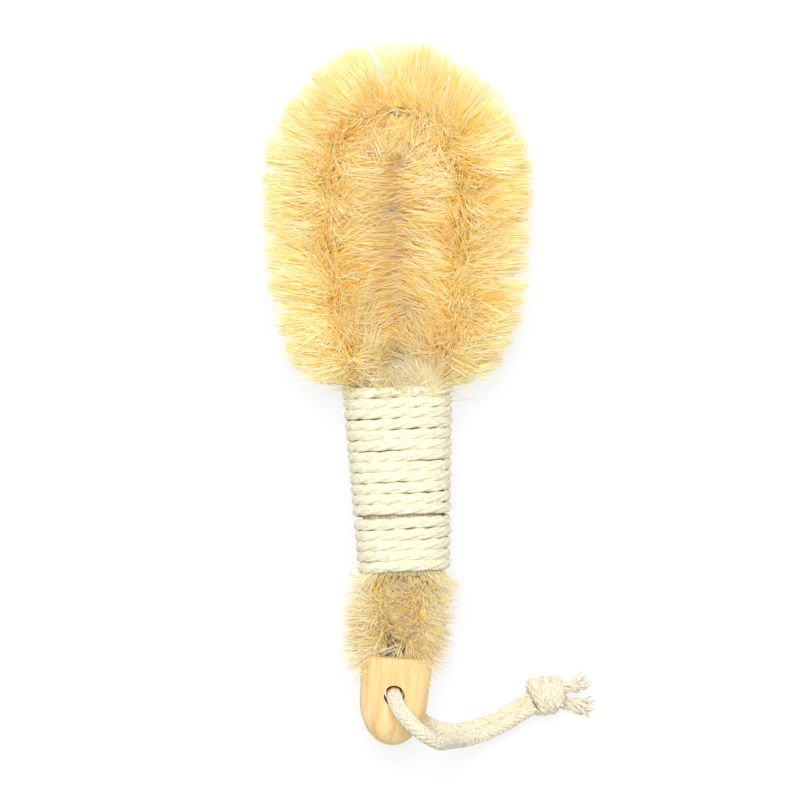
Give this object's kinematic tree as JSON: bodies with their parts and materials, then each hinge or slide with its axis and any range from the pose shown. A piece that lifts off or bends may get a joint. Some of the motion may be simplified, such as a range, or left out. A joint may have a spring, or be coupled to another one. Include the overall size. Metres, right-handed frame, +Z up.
{
  "type": "bath brush",
  "caption": "Hairpin body brush of plant fibre on a twisted wire core, with a twine-bound grip, a wooden end cap and a knotted cord loop to hang it by.",
  "frame": {"origin": "on the surface that the brush lies on, under the middle of the brush without its cord", "axes": "+Y from the cap to the crown of the head, +Z up, +X to the right when the head points away"},
  "size_m": [0.1145, 0.2411, 0.0463],
  "materials": {
    "galvanised_wire": "dull galvanised",
    "plant_fibre": "matt straw-coloured fibre",
    "pressed_fibre": "matt packed fibre",
    "twine": "matt cream twine",
    "pale_wood": "bare turned wood",
    "cotton_cord": "soft braided cotton"
  },
  "bodies": {
    "brush": {"core_wire_a": "galvanised_wire", "core_wire_b": "galvanised_wire", "head_bristles_left": "plant_fibre", "head_bristles_right": "plant_fibre", "tail_bristles": "plant_fibre", "grip_filling": "pressed_fibre", "binding_twine": "twine", "end_cap": "pale_wood"},
    "hanging_cord": {"cord_front_strand": "cotton_cord", "cord_back_strand": "cotton_cord", "cord_knot": "cotton_cord", "cord_end_front": "cotton_cord", "cord_end_back": "cotton_cord"}
  },
  "joints": [
    {"name": "loop_swing", "type": "hinge", "parent": "brush", "child": "hanging_cord", "pos_m": [-0.00096, -0.10236, 0.0229], "axis": [0, 0, 1], "range_deg": [-150, 45]}
  ]
}
